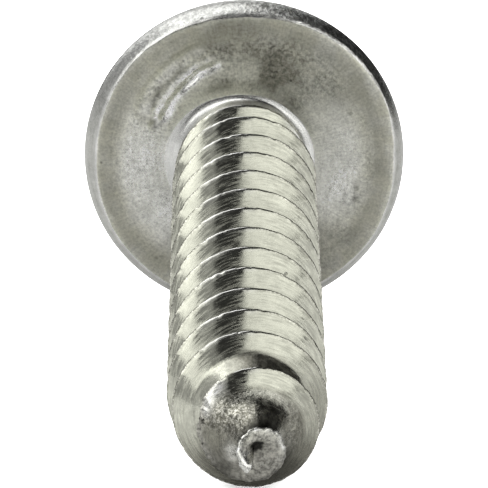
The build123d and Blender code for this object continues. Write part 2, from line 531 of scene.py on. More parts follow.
    def build(self, skin: Skin, ring: np.ndarray) -> None:
        """Wind the thread from the neck's ring to the pit in the curled end.

        Args:
            skin: The skin to add to.
            ring: Numbers of the points in the neck's ring.
        """
        first = self.start_turn()
        last = (self.end_height - self.height_at_side) / self.pitch
        steps = int((last - first) * self.columns)
        turns = first + np.arange(steps) / self.columns
        radius, height, distance, crest = self.profile(turns)
        radius, height = self.curl(turns, radius, height, crest)
        angle = FULL_TURN * turns[:, None] + 0 * radius
        wear = ThreadWearAndPaintedLight(turned(radius, angle, height), distance, angle)
        wear.move()
        masks = wear.masks()
        numbers = skin.add_points(self.leaned(wear.points), masks)
        pit_place = self.leaned(np.array([[0.0, 0.0, self.pit_height]]))
        # The pit's middle point gets deep painted shade.
        pit = skin.add_points(pit_place, mask_stack(pit_place, shade=2.0, beaten=1.0, matt=1.0))[0]
        end = steps - 1
        middle_row = radius.shape[1] // 2
        numbers[0, :] = ring[0]
        numbers[: self.columns, 0] = ring
        numbers[self.columns :, 0] = numbers[: -self.columns, -1]
        numbers[end, :middle_row] = numbers[end - self.columns, -1]
        numbers[end - self.columns + 1 :, -1] = pit
        numbers[end, middle_row:] = pit
        for column in range(end):
            skin.sew(numbers[column + 1], numbers[column], Finish.THREAD)


@dataclass(frozen=True)
class Gouge:
    """A scrape along an arc on the bearing face, with metal pushed up along its outer side."""

    radius: float
    start: float
    end: float
    width: float
    depth: float
    drift: float = 0.0
    shine: float = 0.8

    def course(self, place: np.ndarray) -> tuple[np.ndarray, np.ndarray]:
        """Find where each place lies in the scrape.

        Args:
            place: Points on the bearing face.

        Returns:
            How strong the scrape is along its run, and how far across it each place lies in widths.
        """
        reach = np.hypot(place[:, 0], place[:, 1])
        angle = np.degrees(np.arctan2(place[:, 1], place[:, 0]))
        share = np.clip((angle - self.start) / (self.end - self.start), 0, 1)
        window = ease(angle, self.start, self.start + 8) * (1 - ease(angle, self.end - 8, self.end))
        window = window * (0.75 + 0.5 * lattice_noise(place, 0.45, 44))
        middle = self.radius + self.drift * share
        middle = middle + 0.03 * lattice_noise(place, 0.5, 45) + 0.015 * lattice_noise(place, 0.15, 46)
        return window, (reach - middle) / self.width

    def lift(self, place: np.ndarray) -> np.ndarray:
        """Height that this scrape adds at each place."""
        window, across = self.course(place)
        return self.depth * window * (0.7 * np.exp(-((across - 1.2) ** 2)) - np.exp(-(across**2)))

    def bared(self, place: np.ndarray) -> np.ndarray:
        """How bright this scrape rubs the metal at each place."""
        window, across = self.course(place)
        return self.shine * window * (np.exp(-((across + 0.6) ** 2)) + 0.2 * np.exp(-((across - 1.8) ** 2)))


@dataclass(frozen=True)
class Patch:
    """A darker (+) or brighter (-) area of the bearing face, soft at its edges."""

    amount: float
    start: float
    end: float
    inner: float
    outer: float
    fade: float = 14.0
    fade_reach: float = 0.35

    def strength(self, reach: np.ndarray, angle: np.ndarray) -> np.ndarray:
        """Strength of the patch.

        Args:
            reach: Distances from the axis.
            angle: Bearings about the axis in degrees.

        Returns:
            The amount at each place.
        """
        middle = (self.start + self.end) / 2
        half = (self.end - self.start) / 2
        aside = np.abs((angle - middle + 180) % 360 - 180)
        window = 1 - ease(aside, half - self.fade / 2, half + self.fade / 2)
        band = ease(reach, self.inner - self.fade_reach / 2, self.inner + self.fade_reach / 2)
        band = band * (1 - ease(reach, self.outer - self.fade_reach / 2, self.outer + self.fade_reach / 2))
        return self.amount * window * band


@dataclass(frozen=True)
class Dent:
    """A small pit or knock on the bearing face."""

    x: float
    y: float
    width: float
    depth: float

    def lift(self, x: np.ndarray, y: np.ndarray) -> np.ndarray:
        """Height that this dent adds at a place on the face."""
        return -self.depth * np.exp(-(((x - self.x) ** 2 + (y - self.y) ** 2) / self.width**2))


@dataclass(frozen=True)
class TrussHead:
    """The head: crown with its cross recess, rounded rim, bearing face and rounding to the neck."""

    radius: float = 5.39
    height: float = 2.75
    rim_height: float = 0.75
    edge_radius: float = 0.35
    face_radius: float = 5.06
    neck_radius: float = 2.07
    collar_spread: Stations = (
        (0, 0.31), (45, 0.28), (85, 0.23), (110, 0.27), (135, 0.42),
        (165, 0.58), (205, 0.58), (250, 0.36), (360, 0.31),
    )
    collar_rise: Stations = (
        (0, 0.18), (45, 0.17), (70, 0.24), (95, 0.32), (120, 0.33),
        (140, 0.34), (205, 0.34), (250, 0.28), (360, 0.18),
    )
    collar: Stations = (
        (0.90, 0.03), (0.75, 0.09), (0.60, 0.16), (0.48, 0.24), (0.36, 0.36), (0.24, 0.52), (0.12, 0.72),
        (0.04, 0.90), (0.0, 1.0),
    )
    neck_height: float = 0.36
    recess_span: float = 5.0
    recess_depth: float = 2.6
    recess_wall_angle: float = math.radians(26.5)
    wing_width: float = 0.95
    wing_floor_width: float = 0.75
    hub_diameter: float = 2.3
    hub_floor_diameter: float = 1.3
    floor_cone_depth: float = 0.3
    floor_shares: tuple[float, ...] = (0.12, 0.4, 0.7, 0.95)
    wall_top: float = 0.04
    mouth_rounding: Stations = ((0.012, 0.028), (0.035, 0.010), (0.075, 0.0))
    corner_sharpness: float = 14.0
    hub_sharpness: float = 10.0
    wall_rows: int = 13
    crown_rows: int = 17
    edge_rows: int = 8
    side_rows: int = 10
    face_rows: int = 44
    wear_path: float = 5.0
    face_stations: Stations = ((0.0, 0.0), (0.17, 0.26), (0.40, 0.54), (0.84, 0.82), (1.0, 1.0))
    edge_bevel: float = 0.06
    edge_wear: Stations = ((0, 0.7), (22, 0.8), (38, 1.5), (70, 1.6), (84, 0.7), (140, 0.8), (360, 0.7))
    edge_wander: Stations = (
        (-180, -0.09), (-147, -0.02), (-50, -0.03), (-30, 0.04), (3, -0.01), (24, 0.13), (50, 0.13),
        (68, 0.07), (90, -0.05), (115, 0.0), (131, 0.04), (160, -0.04), (180, -0.09),
    )
    gouges: tuple[Gouge, ...] = (
        Gouge(3.50, 102, 157, 0.13, 0.115, -0.42, 2.4),
        Gouge(3.72, 106, 158, 0.20, 0.035, -0.40, 0.3),
        Gouge(4.20, 108, 160, 0.20, 0.040, -0.24, 0.4),
    )
    battered: tuple[Patch, ...] = (
        Patch(0.62, 98, 164, 2.75, 4.1),
        Patch(0.58, 40, 98, 2.45, 4.4, 24, 0.8),
        Patch(0.35, 164, 230, 2.9, 4.6),
        Patch(0.30, -40, 28, 3.0, 4.4),
        Patch(0.45, -66, -40, 3.0, 4.9),
    )
    patches: tuple[Patch, ...] = (
        Patch(0.88, 40, 78, 2.2, 3.7, 40, 1.1),
        Patch(-0.45, 108, 150, 3.25, 3.65, 20, 0.3),
        Patch(0.55, 66, 122, 2.5, 4.95, 24, 0.5),
        Patch(0.40, 30, 66, 3.7, 4.9, 20, 0.6),
        Patch(0.50, 125, 222, 4.35, 4.95, 20, 0.5),
        Patch(0.50, -38, 35, 4.25, 4.85, 20, 0.5),
        Patch(0.62, -66, -36, 3.0, 4.95, 20, 0.8),
        Patch(0.40, 222, 245, 3.4, 4.9, 20, 0.8),
        Patch(1.0, 122, 158, 3.56, 3.88, 12, 0.3),
        Patch(0.25, 104, 152, 2.6, 3.1, 28, 0.4),
        Patch(-0.65, 158, 228, 2.4, 4.15, 24, 0.7),
        Patch(-0.42, -30, 26, 2.5, 3.9, 24, 0.7),
    )
    dents: tuple[Dent, ...] = (
        Dent(-3.03, 1.25, 0.14, 0.09),
        Dent(-3.90, 0.62, 0.05, 0.03),
        Dent(-3.90, 0.27, 0.05, 0.03),
        Dent(-2.93, -3.46, 0.07, 0.04),
        Dent(-2.69, -3.43, 0.05, 0.03),
        Dent(3.46, 1.74, 0.06, 0.035),
        Dent(3.90, 1.00, 0.05, 0.03),
        Dent(3.72, -0.85, 0.12, 0.03),
        Dent(3.74, -1.25, 0.13, 0.03),
    )

    def recess_reach(self, angle: np.ndarray, share: float) -> np.ndarray:
        """How far the recess's wall is from the axis.

        Args:
            angle: Angles about the axis in radians.
            share: Depth as a share of the recess's, 0 at the mouth.

        Returns:
            The distance for each angle, with the corners eased.
        """
        span = self.recess_span / 2 - share * self.recess_depth * math.tan(self.recess_wall_angle)
        wing = (self.wing_width + (self.wing_floor_width - self.wing_width) * share) / 2
        hub = (self.hub_diameter + (self.hub_floor_diameter - self.hub_diameter) * share) / 2
        across = np.minimum(np.abs(np.cos(angle)), np.abs(np.sin(angle)))
        forward = np.maximum(np.abs(np.cos(angle)), np.abs(np.sin(angle)))
        sides = np.power(wing / np.maximum(across, 1e-6), -self.corner_sharpness)
        ends = np.power(span / forward, -self.corner_sharpness)
        wall = np.power(sides + ends, -1 / self.corner_sharpness)
        return np.power(np.power(wall, self.hub_sharpness) + hub**self.hub_sharpness, 1 / self.hub_sharpness)

    def dome(self) -> tuple[float, float]:
        """Radius of the crown's dome, and how far from the axis its rounded edge is centred."""
        inset = self.radius - self.edge_radius
        rise = self.height - self.rim_height
        return (inset**2 + rise**2 - self.edge_radius**2) / (2 * (rise - self.edge_radius)), inset

    def crown_height(self, reach: np.ndarray) -> np.ndarray:
        """Height of the domed crown at a distance from the axis."""
        dome, _ = self.dome()
        return dome - self.height - np.sqrt(dome**2 - reach**2)

    def recess_rings(self, angle: np.ndarray) -> list[np.ndarray]:
        """Rings from the middle of the recess's floor up its walls to the rounded mouth.

        Args:
            angle: Angles of the ring points in radians.

        Returns:
            The rings' points, in order.
        """
        floor = self.recess_depth - self.height
        mouth_reach = self.recess_reach(angle, 0.0)
        mouth = self.crown_height(mouth_reach)
        rings = []
        for share in self.floor_shares:
            reach = self.recess_reach(angle, 1.0) * share
            cone = np.clip(1 - reach / (self.hub_floor_diameter / 2), 0, 1)
            rings.append(turned(reach, angle, floor + self.floor_cone_depth * cone))
        for depth in np.linspace(1, self.wall_top, self.wall_rows):
            rings.append(turned(self.recess_reach(angle, depth), angle, mouth + (floor - mouth) * depth))
        for outward, down in self.mouth_rounding:
            reach = mouth_reach + outward
            rings.append(turned(reach, angle, self.crown_height(reach) + down))
        return rings

    def crown_rings(self, angle: np.ndarray) -> list[np.ndarray]:
        """Rings that spread from the recess's mouth to the round edge of the crown.

        Args:
            angle: Angles of the ring points in radians.

        Returns:
            The rings' points, in order.
        """
        dome, inset = self.dome()
        crown_edge = inset * dome / (dome - self.edge_radius)
        start = self.recess_reach(angle, 0.0) + self.mouth_rounding[-1][0]
        rings = []
        for share in np.linspace(0, 1, self.crown_rows)[1:]:
            reach = start + (crown_edge - start) * share
            rings.append(turned(reach, angle, self.crown_height(reach)))
        return rings

    def rim_rings(self, angle: np.ndarray) -> list[np.ndarray]:
        """Rings round the rim, from the crown's edge to the edge of the bearing face.

        Args:
            angle: Angles of the ring points in radians.

        Returns:
            The rings' points, in order.
        """
        dome, inset = self.dome()
        start = math.asin(inset / (dome - self.edge_radius))
        rings = []
        for turn in np.linspace(math.pi / 2 - start, 0, self.edge_rows)[1:]:
            reach = inset + self.edge_radius * math.cos(turn) + 0 * angle
            rings.append(turned(reach, angle, -self.rim_height - self.edge_radius * math.sin(turn)))
        path = turned(self.wear_path + 0 * angle, angle, 0 * angle)
        ragged = 1 + 0.7 * lattice_noise(path, 0.4, 61) + 0.5 * lattice_noise(path, 0.15, 62)
        bevel = self.edge_bevel * ragged * along(self.edge_wear, np.degrees(angle) % 360)
        face = self.face_edge(angle)
        side = self.rim_height - 0.5 * bevel
        lean = np.arctan2(self.radius - face, side)
        size = side / np.sin(2 * lean)
        for share in np.linspace(0, 1, self.side_rows)[1:]:
            swing = 2 * lean * share
            reach = self.radius - size * (1 - np.cos(swing))
            rings.append(turned(reach, angle, -self.rim_height + size * np.sin(swing)))
        return rings + [turned(face - 0.3 * bevel, angle, -0.3 * bevel)]

    def face_edge(self, angle: np.ndarray) -> np.ndarray:
        """Radius of the bearing face's edge, which wanders a little."""
        degrees = (np.degrees(angle) + 180) % 360 - 180
        return self.face_radius + along(self.edge_wander, degrees)

    def face_rings(self, angle: np.ndarray) -> list[np.ndarray]:
        """Rings over the bearing face with its scrapes and dents.

        Args:
            angle: Angles of the ring points in radians.

        Returns:
            The rings' points, in order.
        """
        edge = self.face_edge(angle) - self.edge_bevel
        inner = self.neck_radius + along(self.collar_spread, np.degrees(angle) % 360)
        rings = []
        for share in along(self.face_stations, np.linspace(0, 1, self.face_rows)):
            reach = edge + (inner - edge) * share
            place = turned(reach, angle, 0 * angle)
            place[:, 2] += self.face_lift(place) * ease(np.array(1 - share), 0.0, 0.06)
            rings.append(place)
        return rings

    def collar_rings(self, angle: np.ndarray) -> list[np.ndarray]:
        """Rings that round from the bearing face into the neck, wider on one side.

        Args:
            angle: Angles of the ring points in radians.

        Returns:
            The rings' points, in order.
        """
        degrees = np.degrees(angle) % 360
        spread, rise = along(self.collar_spread, degrees), along(self.collar_rise, degrees)
        rings = []
        for share, level in self.collar:
            rings.append(turned(self.neck_radius + share * spread, angle, level * rise))
        return rings + [turned(self.neck_radius + 0 * angle, angle, self.neck_height)]

    def face_masks(self, place: np.ndarray) -> np.ndarray:
        """Masks of one ring on the bearing face.

        Args:
            place: The ring's points.

        Returns:
            The masks, in the order of MASKS, for each point.
        """
        x, y = place[:, 0], place[:, 1]
        reach = np.hypot(x, y)
        degrees = np.degrees(np.arctan2(y, x))
        cloud = lattice_noise(place, 0.8, 41) + 0.5 * lattice_noise(place, 0.3, 42)
        shade, bare = 0 * reach, 0 * reach
        for patch in self.patches:
            amount = patch.strength(reach, degrees) * (1 + 0.45 * cloud)
            shade += np.maximum(amount, 0)
            bare += np.maximum(-amount, 0)
        scraped = sum(gouge.bared(place) for gouge in self.gouges)
        dented = sum(-dent.lift(x, y) / dent.depth for dent in self.dents)
        bare = bare + scraped * (0.8 + 0.8 * lattice_noise(place, 0.13, 43))
        shade = shade * (1 - np.clip(scraped, 0, 1)) + 0.8 * dented
        beaten = sum(patch.strength(reach, degrees) for patch in self.battered) * (1 + 0.6 * cloud)
        return np.clip(mask_stack(place, shade=shade, bare=bare, beaten=beaten), 0, 1)

    def rim_masks(self, place: np.ndarray) -> np.ndarray:
        """Masks of one ring on the rim: dark specks, painted shade below its top, and an edge beside the face
        that is worn bright, with a painted highlight that grows towards the top.

        Args:
            place: The ring's points.

        Returns:
            The masks, in the order of MASKS, for each point.
        """
        speck = lattice_noise(place, 0.16, 71) + 0.6 * lattice_noise(place, 0.08, 72)
        edge = ease(place[:, 2], -0.10, -0.03)
        bare = edge * (0.7 + 0.6 * lattice_noise(place, 0.35, 73))
        # The worn edge gets a painted highlight that grows towards the top.
        bare = bare * (0.5 + 0.5 * ease(place[:, 1], -1.0, 2.5))
        upper = ease(place[:, 1], 1.0, 4.0)
        upper_right = upper * ease(place[:, 0], -0.5, 1.0)
        # Dark specks, heaviest on the upper right where they also paint in shade, and painted shade on the
        # rim below its top.
        shade = (1 - edge) * ((0.12 + 0.5 * upper_right) * ease(speck, 0.35, 0.7) + 0.33 * (1 - upper))
        beaten = (1 - edge) * (0.12 + 0.3 * upper + 0.55 * upper_right)
        return np.clip(mask_stack(place, shade=shade, bare=bare, beaten=beaten), 0, 1)

    def collar_masks(self, place: np.ndarray) -> np.ndarray:
        """Masks of one ring on the collar, which is bright uncoated metal."""
        bare = (0.8 + 0.3 * lattice_noise(place, 0.25, 74)) * (1 - 0.6 * ease(-place[:, 0], 1.2, 2.2))
        return np.clip(mask_stack(place, bare=bare), 0, 1)

    def face_lift(self, place: np.ndarray) -> np.ndarray:
        """Unevenness of the bearing face.

        Args:
            place: Points on the face's plane.

        Returns:
            How far the face stands above (+) or below its plane at each point.
        """
        x, y = place[:, 0], place[:, 1]
        lift = sum(gouge.lift(place) for gouge in self.gouges)
        lift = lift + sum(dent.lift(x, y) for dent in self.dents)
        return lift + 0.012 * lattice_noise(place, 1.4, 31) + 0.004 * lattice_noise(place, 0.35, 32)

    def build(self, skin: Skin, angle: np.ndarray) -> np.ndarray:
        """Build the head from the middle of its recess to the neck.

        Args:
            skin: The skin to add to.
            angle: Angles of the ring points in radians.

        Returns:
            Numbers of the points in the neck's ring.
        """
        floor = np.array([[0.0, 0.0, self.recess_depth - self.height + self.floor_cone_depth]])
        middle = skin.add_points(floor, mask_stack(floor))[0]
        before = np.full(len(angle) + 1, middle)
        parts = (
            (self.recess_rings(angle) + self.crown_rings(angle), Finish.CROWN, mask_stack),
            (self.rim_rings(angle), Finish.RIM, self.rim_masks),
            (self.face_rings(angle), Finish.BEARING_FACE, self.face_masks),
            (self.collar_rings(angle), Finish.RIM, self.collar_masks),
        )
        for rings, finish, masks_of in parts:
            for ring in rings:
                numbers = skin.add_points(ring, masks_of(ring))
                closed = np.append(numbers, numbers[0])
                skin.sew(before, closed, finish)
                before = closed
        return before[:-1]


class NodeSheet:
    """Lays nodes into one node tree and joins them."""

    def __init__(self, tree: bpy.types.NodeTree) -> None:
        """Start on a node tree."""
        self.tree = tree

    def add(self, kind: str, inputs: dict[Any, Any] | None = None, **settings: Any) -> bpy.types.Node:
        """Add a node.

        Args:
            kind: The node's type name.
            inputs: What goes into its sockets, by name or number: a socket to join or a value.
            settings: Its own settings.

        Returns:
            The node.
        """
        node = self.tree.nodes.new(kind)
        for name, value in settings.items():
            setattr(node, name, value)
        for name, value in (inputs or {}).items():
            if isinstance(value, bpy.types.NodeSocket):
                self.tree.links.new(value, node.inputs[name])
            else:
                node.inputs[name].default_value = value
        return node

    def work_out(self, operation: str, *values: Any) -> bpy.types.NodeSocket:
        """Add a Math node with these values and give its result."""
        return self.add("ShaderNodeMath", dict(enumerate(values)), operation=operation).outputs[0]

    def plus(self, *values: Any) -> bpy.types.NodeSocket:
        """Add values up, from the first to the last."""
        return reduce(lambda total, value: self.work_out("ADD", total, value), values)

    def times(self, *values: Any) -> bpy.types.NodeSocket:
        """Multiply values, from the first to the last."""
        return reduce(lambda total, value: self.work_out("MULTIPLY", total, value), values)

    def vector(self, operation: str, **inputs: Any) -> bpy.types.Node:
        """Add a Vector Math node with a first value and, where it takes one, a second or a scale."""
        sockets = {"first": 0, "second": 1, "scale": 3}
        values = {sockets[name]: value for name, value in inputs.items()}
        return self.add("ShaderNodeVectorMath", values, operation=operation)

    def noise(self, where: Any, scale: float, detail: float, roughness: float = 0.5) -> bpy.types.NodeSocket:
        """Add a noise texture and give its value."""
        inputs = {"Vector": where, "Scale": scale, "Detail": detail, "Roughness": roughness}
        return self.add("ShaderNodeTexNoise", inputs).outputs[0]

    def span(self, value: Any, low: float, high: float, to_low: float = 0.0, to_high: float = 1.0) -> Any:
        """Map a value smoothly from low..high to to_low..to_high."""
        inputs = {"Value": value, "From Min": low, "From Max": high, "To Min": to_low, "To Max": to_high}
        node = self.add("ShaderNodeMapRange", inputs, interpolation_type="SMOOTHSTEP")
        return node.outputs["Result"]

    def mix(self, factor: Any, first: Any, second: Any, blend: str = "MIX") -> bpy.types.NodeSocket:
        """Mix two colours."""
        node = self.add("ShaderNodeMix", {0: factor}, data_type="RGBA", blend_type=blend)
        for socket, value in ((node.inputs[6], first), (node.inputs[7], second)):
            if isinstance(value, bpy.types.NodeSocket):
                self.tree.links.new(value, socket)
            else:
                socket.default_value = (*value, 1.0)
        return node.outputs[2]

    def place(self) -> bpy.types.NodeSocket:
        """The place on the screw in millimetres, in its own frame, which the mesh carries."""
        return self.add("ShaderNodeAttribute", attribute_name=OWN_PLACE).outputs["Vector"]

    def flat_place(self) -> bpy.types.NodeSocket:
        """The place on the screw as seen along its axis."""
        return self.vector("MULTIPLY", first=self.place(), second=(1, 1, 0)).outputs[0]

    def mask(self, name: str) -> bpy.types.NodeSocket:
        """One of the masks that the mesh carries."""
        return self.add("ShaderNodeAttribute", attribute_name=name).outputs["Fac"]


@dataclass(frozen=True)
class SharedEffects:
    """Node groups for the effects that more than one finish of the steel uses."""

    def group(
        self, name: str, takes: dict[str, float], gives: tuple[str, ...], fill: Callable
    ) -> bpy.types.NodeTree:
        """Make one node group.

        Args:
            name: The group's name.
            takes: Its inputs and their usual values.
            gives: Its outputs.
            fill: Lays the nodes; it takes the sheet and the input sockets by name and returns the
                sockets that go out, in the order of gives.

        Returns:
            The group.
        """
        tree = bpy.data.node_groups.new(name, "ShaderNodeTree")
        for label, usual in takes.items():
            socket = tree.interface.new_socket(label, in_out="INPUT", socket_type="NodeSocketFloat")
            socket.default_value = usual
        for label in gives:
            tree.interface.new_socket(label, in_out="OUTPUT", socket_type="NodeSocketFloat")
        sheet = NodeSheet(tree)
        incoming = sheet.add("NodeGroupInput")
        results = fill(sheet, {label: incoming.outputs[label] for label in takes})
        sheet.add("NodeGroupOutput", dict(zip(gives, results)))
        return tree

    def turned_lines(self) -> bpy.types.NodeTree:
        """Fine lines round the axis, left by rolling and heading."""

        def fill(sheet: NodeSheet, takes: dict[str, Any]) -> list[Any]:
            """Draw noise out along the turns and press it together across them."""
            flat = sheet.flat_place()
            reach = sheet.vector("LENGTH", first=flat).outputs["Value"]
            height = sheet.add("ShaderNodeSeparateXYZ", {0: sheet.place()}).outputs[2]
            level = sheet.work_out("DIVIDE", sheet.plus(reach, sheet.times(height, 0.35)), takes["Spacing"])
            bearing = sheet.vector("NORMALIZE", first=flat).outputs[0]
            x, y, _ = sheet.add("ShaderNodeSeparateXYZ", {0: bearing}).outputs
            breaks = {1: sheet.times(x, takes["Breaks"]), 2: sheet.times(y, takes["Breaks"])}
            where = sheet.add("ShaderNodeCombineXYZ", {0: level, **breaks}).outputs[0]
            return [sheet.noise(where, scale=1.0, detail=3.0, roughness=0.6)]

        return self.group("turned_lines", {"Spacing": 0.05, "Breaks": 6.0}, ("Lines",), fill)

    def grain(self) -> bpy.types.NodeTree:
        """Fine mottled grain of the metal."""

        def fill(sheet: NodeSheet, takes: dict[str, Any]) -> list[Any]:
            """Lay noise with bumps of the size that the group takes."""
            fineness = sheet.work_out("DIVIDE", 1.0, takes["Size"])
            where = sheet.vector("SCALE", first=sheet.place(), scale=fineness).outputs[0]
            return [sheet.noise(where, scale=1.0, detail=4.0, roughness=0.65)]

        return self.group("grain", {"Size": 0.12}, ("Grain",), fill)

    def pits(self) -> bpy.types.NodeTree:
        """Scattered small dark pits."""

        def fill(sheet: NodeSheet, takes: dict[str, Any]) -> list[Any]:
            """Choose a share of scattered cells and put a small soft spot in each."""
            fineness = sheet.work_out("DIVIDE", 1.0, takes["Spacing"])
            where = sheet.vector("SCALE", first=sheet.place(), scale=fineness).outputs[0]
            cells = sheet.add("ShaderNodeTexVoronoi", {"Vector": where, "Scale": 1.0, "Randomness": 1.0})
            chance = sheet.add("ShaderNodeSeparateColor", {0: cells.outputs["Color"]}).outputs[0]
            chosen = sheet.work_out("LESS_THAN", chance, takes["Share"])
            return [sheet.times(chosen, sheet.span(cells.outputs["Distance"], 0.10, 0.22, 1.0, 0.0))]

        return self.group("pits", {"Spacing": 0.5, "Share": 0.2}, ("Pits",), fill)

    def stain(self) -> bpy.types.NodeTree:
        """Cloudy tarnish that gathers between two distances from the axis."""

        def fill(sheet: NodeSheet, takes: dict[str, Any]) -> list[Any]:
            """Let clouds of noise through only where the reach from the axis lets them."""
            flat = sheet.flat_place()
            reach = sheet.vector("LENGTH", first=flat).outputs["Value"]
            cloud = sheet.noise(flat, scale=0.9, detail=5.0, roughness=0.6)
            gathered = sheet.span(reach, takes["Start"], takes["Full"])
            return [sheet.times(gathered, sheet.span(cloud, 0.30, 0.62))]

        return self.group("stain", {"Start": 3.0, "Full": 4.6}, ("Stain",), fill)

    def build(self) -> dict[str, bpy.types.NodeTree]:
        """Build every group once.

        Returns:
            The groups by name.
        """
        made = (self.turned_lines(), self.grain(), self.pits(), self.stain())
        return {group.name: group for group in made}


@dataclass(frozen=True)
class SteelFinish:
    """One finish of the stainless steel."""

    name: str
    colour: Colour
    roughness: float
    line_spacing: float = 0.05
    line_tone: float = 0.10
    line_depth: float = 0.0010
    line_rough: float = 0.0
    grain_size: float = 0.12
    grain_tone: float = 0.12
    grain_depth: float = 0.0015
    streak_tone: float = 0.06
    streak_depth: float = 0.0006
    cloud_size: float = 1.1
    cloud_tone: float = 0.06
    pit_share: float = 0.03
    pit_tone: float = 0.45
    pit_depth: float = 0.01
    stain_amount: float = 0.0
    stain_start: float = 3.0
    stain_full: float = 4.6
    stain_colour: Colour = (0.42, 0.41, 0.31)
    torn_colour: Colour = (0.42, 0.41, 0.37)
    # Colour for stains and for painted shade.
    shade_colour: Colour = (0.25, 0.245, 0.205)
    deepest_tone: float = 0.1
    # Colour of metal rubbed bright, also used for painted highlights.
    bare_colour: Colour = (0.92, 0.92, 0.89)
    bare_smooth: float = 0.0
    burr_shadow: Colour = (0.10, 0.095, 0.07)
    burr_glint: Colour = (0.95, 0.93, 0.84)
    burr_strength: float = 0.75
    beaten_depth: float = 0.03
    beaten_tone: float = 0.42
    rough_marks: tuple[tuple[str, float], ...] = (("shade", 0.14), ("torn", 0.12), ("matt", 0.10))

    def material(self, groups: dict[str, bpy.types.NodeTree]) -> bpy.types.Material:
        """Make the material.

        Args:
            groups: The shared node groups by name.

        Returns:
            The material.
        """
        material = bpy.data.materials.new(self.name)
        material.use_nodes = True
        sheet = NodeSheet(material.node_tree)
        patterns = self.patterns(sheet, groups)
        relief = {"Height": self.relief(sheet, patterns), "Strength": 1.0, "Distance": 1.0}
        shader = material.node_tree.nodes["Principled BSDF"]
        shader.inputs["Metallic"].default_value = 1.0
        links = material.node_tree.links
        links.new(self.surface_colour(sheet, patterns), shader.inputs["Base Color"])
        links.new(self.dullness(sheet, patterns), shader.inputs["Roughness"])
        links.new(sheet.add("ShaderNodeBump", relief).outputs["Normal"], shader.inputs["Normal"])
        return material

    def patterns(self, sheet: NodeSheet, groups: dict[str, bpy.types.NodeTree]) -> Patterns:
        """Place the shared groups with this finish's own values.

        Args:
            sheet: The material's sheet.
            groups: The shared node groups by name.

        Returns:
            The groups' results by use.
        """
        uses = {
            "lines": ("turned_lines", {"Spacing": self.line_spacing, "Breaks": 4.0}),
            "streaks": ("turned_lines", {"Spacing": 0.9, "Breaks": 60.0}),
            "clouds": ("grain", {"Size": self.cloud_size}),
            "lumps": ("grain", {"Size": 0.15}),
            "burrs": ("grain", {"Size": 0.07}),
            "grain": ("grain", {"Size": self.grain_size}),
            "pits": ("pits", {"Share": self.pit_share, "Spacing": 0.3}),
            "stain": ("stain", {"Start": self.stain_start, "Full": self.stain_full}),
        }
        return {
            use: sheet.add("ShaderNodeGroup", values, node_tree=groups[name]).outputs[0]
            for use, (name, values) in uses.items()
        }

    def surface_colour(self, sheet: NodeSheet, patterns: Patterns) -> bpy.types.NodeSocket:
        """Colour of the steel with its stains and painted shade, its bared places and painted highlights, its
        torn places and its burrs.

        Args:
            sheet: The material's sheet.
            patterns: Results of the shared groups by use.

        Returns:
            The colour.
        """
        colour = sheet.mix(sheet.times(patterns["stain"], self.stain_amount), self.colour, self.stain_colour)
        # Stains and painted shade, rubbed metal and painted highlights, and torn places, each mixed in by its
        # mask.
        marks = {"shade": self.shade_colour, "bare": self.bare_colour, "torn": self.torn_colour}
        for mask, mark_colour in marks.items():
            colour = sheet.mix(sheet.mask(mask), colour, mark_colour)
        burr = sheet.mix(sheet.span(patterns["burrs"], 0.45, 0.58), self.burr_shadow, self.burr_glint)
        colour = sheet.mix(sheet.times(sheet.mask("crest"), self.burr_strength), colour, burr)
        tone = self.tone(sheet, patterns)
        toned = sheet.add("ShaderNodeCombineColor", {0: tone, 1: tone, 2: tone}).outputs[0]
        return sheet.mix(1.0, colour, toned, "MULTIPLY")

    def tone(self, sheet: NodeSheet, patterns: Patterns) -> bpy.types.NodeSocket:
        """How light the steel is beside its own colour, and how far deep painted shade darkens it.

        Args:
            sheet: The material's sheet.
            patterns: Results of the shared groups by use.

        Returns:
            The tone, where 1 leaves the colour as it is.
        """
        swings = (("grain", self.grain_tone), ("streaks", self.streak_tone), ("clouds", self.cloud_tone))
        lumps = sheet.span(patterns["lumps"], 0.36, 0.64, -self.beaten_tone, self.beaten_tone)
        tone = sheet.plus(
            sheet.span(patterns["lines"], 0.3, 0.7, 1 - self.line_tone, 1 + self.line_tone),
            *(sheet.span(patterns[use], 0.3, 0.7, -swing, swing) for use, swing in swings),
            sheet.times(sheet.mask("beaten"), lumps),
        )
        pitted = sheet.work_out("SUBTRACT", 1.0, sheet.times(patterns["pits"], self.pit_tone))
        # Deep painted shade: the shade mask from 1 to 2 darkens the tone.
        deep_shade = sheet.span(sheet.mask("shade"), 1.0, 2.0, 1.0, self.deepest_tone)
        return sheet.times(tone, pitted, deep_shade)

    def dullness(self, sheet: NodeSheet, patterns: Patterns) -> bpy.types.NodeSocket:
        """Roughness of the steel: more where it is lined, stained, painted with shade, torn or matt, and less
        where it is rubbed bright and where highlights are painted.

        Args:
            sheet: The material's sheet.
            patterns: Results of the shared groups by use.

        Returns:
            The roughness.
        """
        marks = (*self.rough_marks, ("bare", -self.bare_smooth))
        return sheet.plus(
            sheet.span(patterns["grain"], 0.3, 0.7, self.roughness * 0.85, self.roughness * 1.15),
            sheet.span(patterns["lines"], 0.42, 0.62, -0.4 * self.line_rough, self.line_rough),
            *(sheet.times(sheet.mask(mask), amount) for mask, amount in marks),
        )

